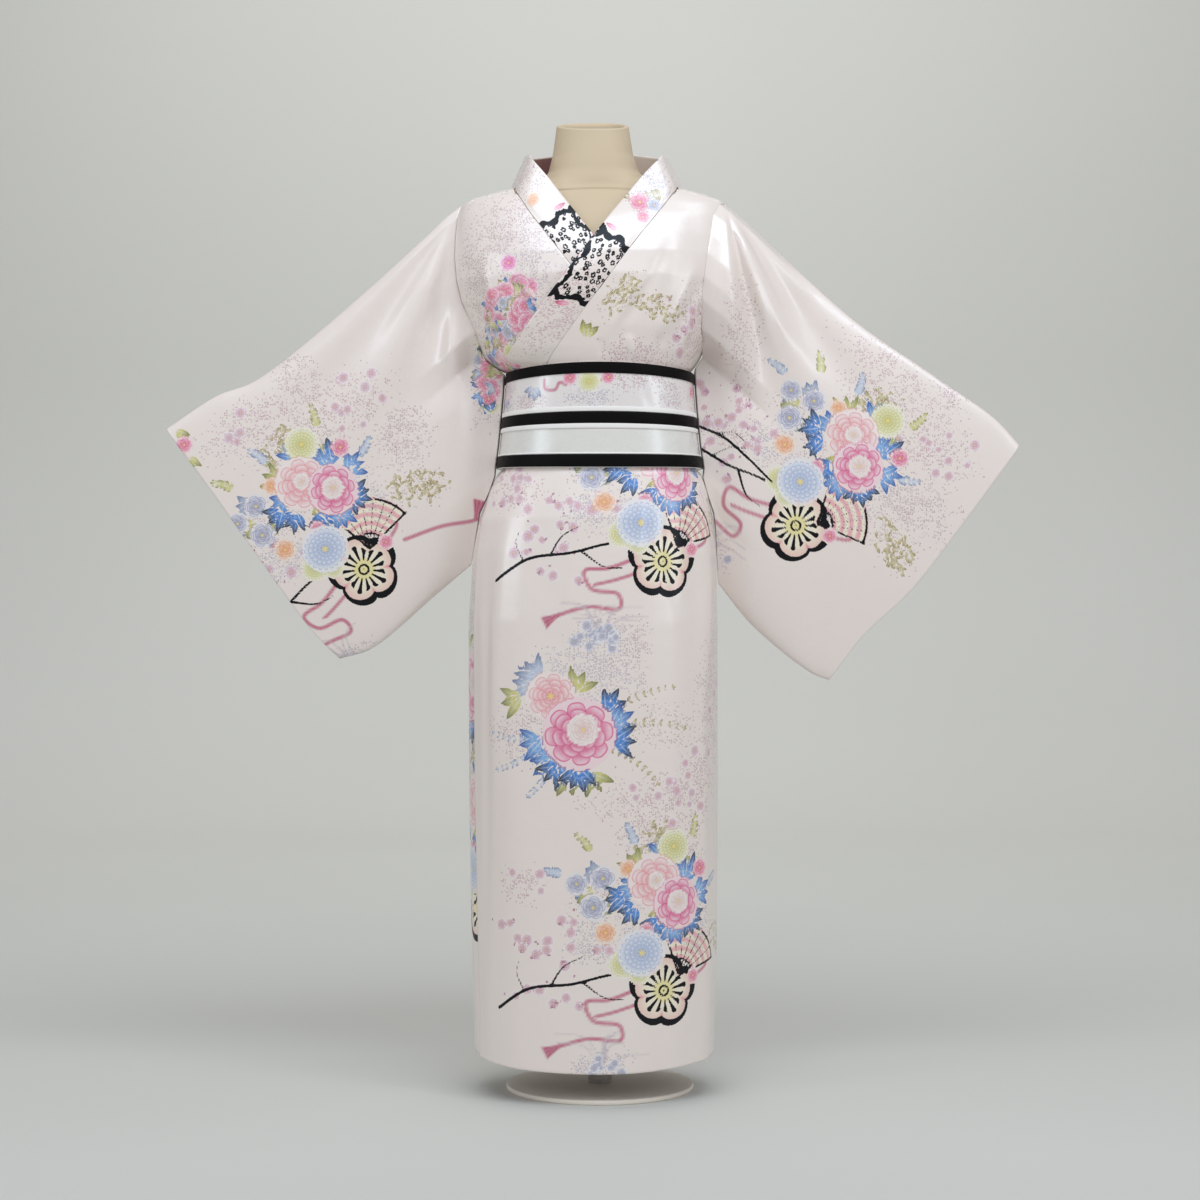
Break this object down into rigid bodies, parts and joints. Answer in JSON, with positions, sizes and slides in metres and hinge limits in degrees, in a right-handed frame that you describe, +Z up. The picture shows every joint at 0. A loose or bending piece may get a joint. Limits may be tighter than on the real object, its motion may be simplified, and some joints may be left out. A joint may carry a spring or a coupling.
{
  "type": "kimono on dress form",
  "caption": "Floor-length satin kimono with wide sleeves, crossed collar and a short striped obi, worn on a limbless dress form on a pole and round base.",
  "frame": {"origin": "centre of the underside of the round base, on the floor", "axes": "+Z up along the pole, -Y out of the front, +X to the right as seen from the front"},
  "size_m": [1.282, 0.2945, 1.4548],
  "materials": {
    "satin": "printed polyester satin, pale pink-white ground, soft sheen",
    "obi_satin": "stiffened white satin, floral upper band",
    "black_ribbon": "black satin ribbon",
    "white_trim": "white satin trim",
    "form_cover": "fine cream jersey stretched over a hard form",
    "form_cap": "cream cloth-covered neck cap",
    "steel": "brushed steel tube",
    "base_paint": "pale warm grey powder coat"
  },
  "bodies": {
    "root": {"front_over": "satin", "front_under": "satin", "back": "satin", "collar": "satin", "sleeve_left": "satin", "sleeve_right": "satin", "obi_band": "obi_satin", "obi_ribbon_bottom": "black_ribbon", "obi_trim_base": "white_trim", "obi_trim_lower": "white_trim", "obi_ribbon_middle": "black_ribbon", "obi_trim_upper": "white_trim", "obi_ribbon_top": "black_ribbon", "form_body": "form_cover", "form_cap": "form_cap", "form_pole": "steel", "form_base": "base_paint"}
  },
  "joints": []
}
